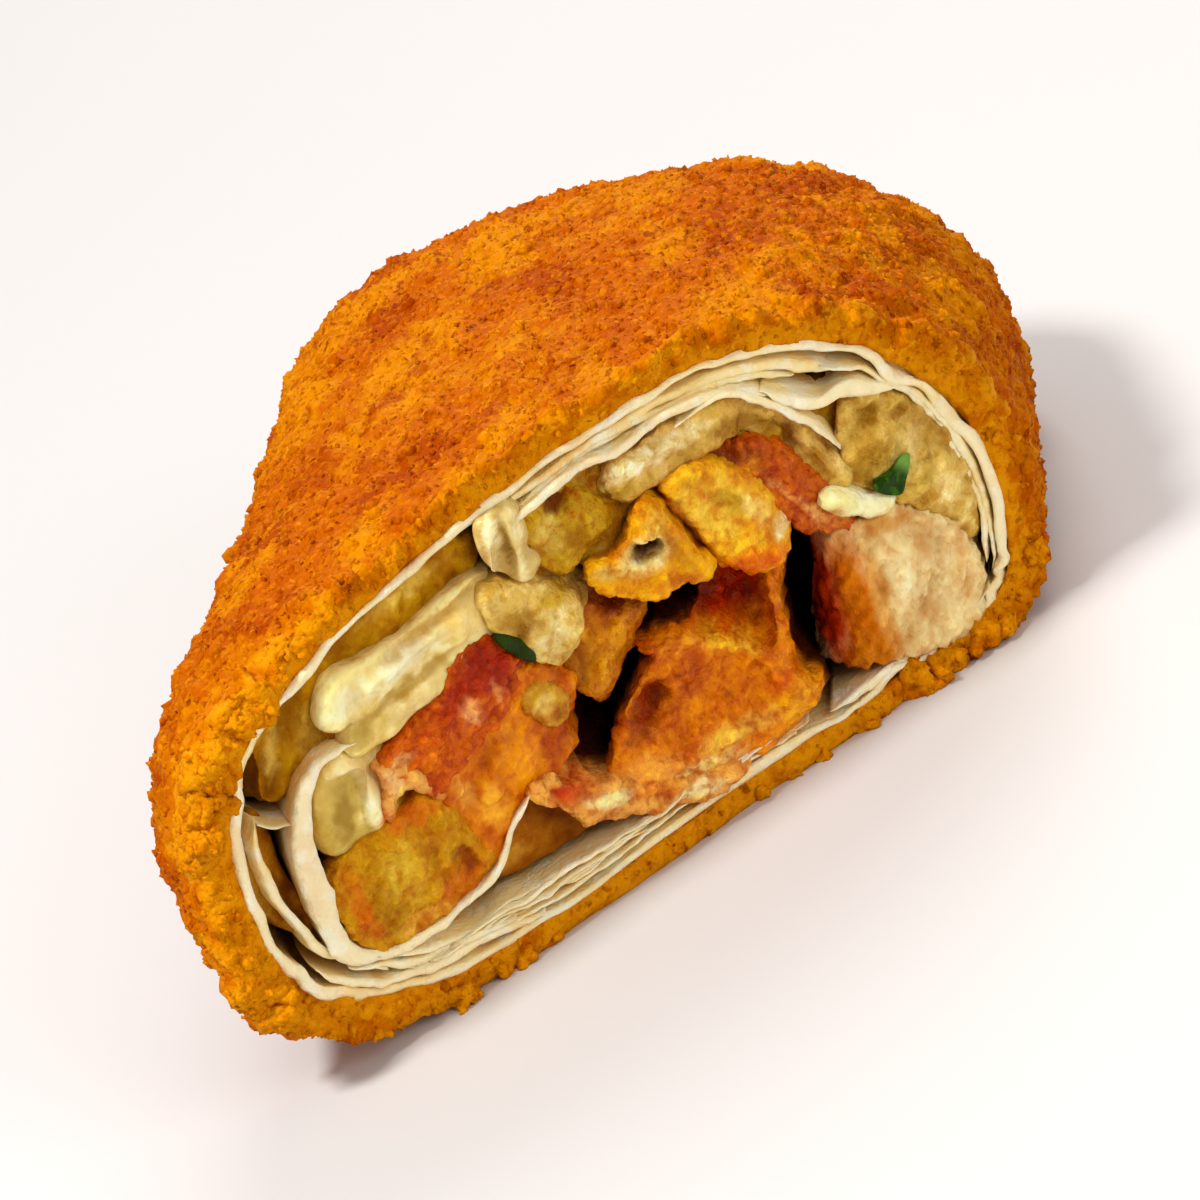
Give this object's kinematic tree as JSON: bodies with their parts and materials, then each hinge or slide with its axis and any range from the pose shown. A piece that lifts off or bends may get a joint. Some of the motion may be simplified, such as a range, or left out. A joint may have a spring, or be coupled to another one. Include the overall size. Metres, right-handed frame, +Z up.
{
  "type": "chicken shawarma wrap",
  "caption": "Half of a crumbed, fried flatbread wrap, cut on the slant to show its chicken, potato, tomato, cheese and sauce filling, and closed at its other end.",
  "frame": {"origin": "middle of the base, on the surface that the wrap lies on", "axes": "+Y along the roll, from the slanting cut to the closed end; +X across it, to the right as the cut is seen; +Z up"},
  "size_m": [0.078, 0.1312, 0.0456],
  "materials": {
    "crumb_coat": "coarse fried crumbs, golden orange with browner specks",
    "flatbread": "thin steamed flatbread, cream coloured, matt and slightly floury",
    "chicken": "pale roast chicken, fibrous and slightly moist",
    "spiced_chicken": "roast chicken coated in orange spiced sauce, moist",
    "potato": "fried potato, golden yellow, soft sheen",
    "tomato": "cooked tomato, moist",
    "cheese": "melted pale cheese, creamy, soft sheen",
    "sauce": "thick orange sauce, glossy",
    "herb": "wilted green leaf"
  },
  "bodies": {
    "root": {"breading": "crumb_coat", "flatbread_outer": "flatbread", "flatbread_under_1": "flatbread", "flatbread_under_2": "flatbread", "flatbread_under_3": "flatbread", "flatbread_side": "flatbread", "flatbread_lining": "flatbread", "flatbread_fold": "flatbread", "flatbread_crown": "flatbread", "flatbread_pocket": "flatbread", "herb_right": "herb", "herb_left": "herb", "chicken_right": "chicken", "chicken_middle": "spiced_chicken", "chicken_strip": "spiced_chicken", "chicken_scrap": "spiced_chicken", "potato_top": "potato", "potato_middle": "potato", "potato_left": "potato", "pickle_left": "potato", "tomato_top": "tomato", "tomato_left": "tomato", "sauce_left": "sauce", "cheese_crown": "cheese", "cheese_right": "cheese", "cheese_left": "cheese", "cheese_middle": "cheese", "cheese_pocket": "cheese"}
  },
  "joints": []
}
